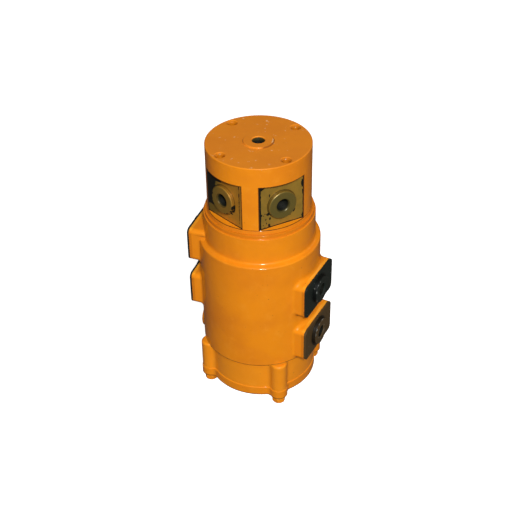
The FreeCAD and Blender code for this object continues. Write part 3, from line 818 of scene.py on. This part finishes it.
# Name, azimuth and elevation in degrees, distance and size in metres, watts, colour
LAMPS = (
    ("key", 33, 40, 4.0, (0.50, 0.50), 168.0, (1, 1, 1)),
    ("fill_left", -40, 20, 2.2, (0.9, 1.4), 1.6, (1.0, 0.42, 0.20)),
    ("fill_right", 95, 30, 2.2, (0.9, 1.4), 1.6, (1.0, 0.60, 0.40)),
    ("rim_right", 150, 30, 2.2, (0.8, 1.2), 2.0, (1.0, 0.70, 0.50)),
)
LAMP_AIM = Vector((0, 0, 0.2))

# The camera fitted to the photo: angles in radians, distances in rotor radii, and its focal
# length in pixels of a picture this wide
CAMERA_AZIMUTH = math.radians(28.0)
CAMERA_PITCH, CAMERA_PAN, CAMERA_ROLL = 0.635165, -0.000555, -0.0175773
CAMERA_BACK, CAMERA_HEIGHT = 16.592, 14.8513
FOCAL_PIXELS, PICTURE_PIXELS = 1034.77, 520
SENSOR_WIDTH = 36.0


def build_floor():
    """Seen, it is nearly white; what it throws back on the part is weak and warm."""
    bm = bmesh.new()
    bmesh.ops.create_grid(bm, x_segments=1, y_segments=1, size=FLOOR_REACH)
    bmesh.ops.translate(bm, verts=bm.verts, vec=(0, 0, BOLTS_LOW * MM))
    floor = as_object(bm, "floor")
    finish = Finish("pale_floor")
    seen = finish.add("ShaderNodeLightPath").outputs["Is Camera Ray"]
    shade = finish.mix_colour(seen, FLOOR_BOUNCE, FLOOR_SEEN)
    diffuse = finish.add("ShaderNodeBsdfDiffuse", {"Color": shade}).outputs[0]
    glow = finish.add("ShaderNodeEmission", {
        "Color": WHITE, "Strength": finish.both(seen, FLOOR_GLOW)}).outputs[0]
    surface = finish.add("ShaderNodeAddShader", {0: diffuse, 1: glow}).outputs[0]
    floor.data.materials.append(finish.done(surface))


def build_world():
    """A white backdrop where it is seen, and a dim warm room where it lights the part."""
    world = bpy.data.worlds.new("studio")
    world.use_nodes = True
    nodes = Nodes(world.node_tree)
    rays = nodes.add("ShaderNodeLightPath").outputs
    seen = nodes.either(rays["Is Camera Ray"], rays["Is Transmission Ray"])
    backdrop = nodes.add("ShaderNodeBackground", {0: WHITE}).outputs[0]
    room = nodes.add("ShaderNodeBackground", {0: ROOM_COLOUR, 1: ROOM_STRENGTH}).outputs[0]
    mixed = nodes.add("ShaderNodeMixShader", {0: seen, 1: room, 2: backdrop}).outputs[0]
    nodes.add("ShaderNodeOutputWorld", {0: mixed})
    bpy.context.scene.world = world


def add_lamp(name, azimuth, elevation, distance, size, power, colour):
    """A soft lamp, placed as seen from the object: azimuth 0 is the -Y side, 90 the +X side."""
    light = bpy.data.lights.new(name, "AREA")
    light.shape = "RECTANGLE"
    light.size, light.size_y = size
    light.energy = power
    light.color = colour
    holder = bpy.data.objects.new(name, light)
    bpy.context.scene.collection.objects.link(holder)
    turn, rise = math.radians(azimuth), math.radians(elevation)
    towards = Vector((
        math.sin(turn) * math.cos(rise), -math.cos(turn) * math.cos(rise), math.sin(rise)))
    holder.location = LAMP_AIM + towards * distance
    holder.rotation_euler = towards.to_track_quat("Z", "Y").to_euler()


def build_camera():
    unit = ROTOR_R * MM
    place = Vector((0, -CAMERA_BACK * unit, CAMERA_HEIGHT * unit))
    forward = Vector((
        math.sin(CAMERA_PAN) * math.cos(CAMERA_PITCH),
        math.cos(CAMERA_PAN) * math.cos(CAMERA_PITCH), -math.sin(CAMERA_PITCH)))
    right = forward.cross(Vector((0, 0, 1))).normalized()
    up = right.cross(forward)
    rolled_right = right * math.cos(CAMERA_ROLL) + up * math.sin(CAMERA_ROLL)
    rolled_up = up * math.cos(CAMERA_ROLL) - right * math.sin(CAMERA_ROLL)
    basis = Matrix((rolled_right, rolled_up, -forward)).transposed().to_4x4()
    camera_data = bpy.data.cameras.new("camera")
    camera_data.sensor_width = SENSOR_WIDTH
    camera_data.lens = FOCAL_PIXELS / PICTURE_PIXELS * SENSOR_WIDTH
    camera = bpy.data.objects.new("camera", camera_data)
    bpy.context.scene.collection.objects.link(camera)
    turn = Matrix.Rotation(CAMERA_AZIMUTH, 4, "Z")
    camera.matrix_world = turn @ Matrix.Translation(place) @ basis
    bpy.context.scene.camera = camera


build_floor()
build_world()
for lamp in LAMPS:
    add_lamp(*lamp)
build_camera()
bpy.context.scene.view_settings.view_transform = "Standard"
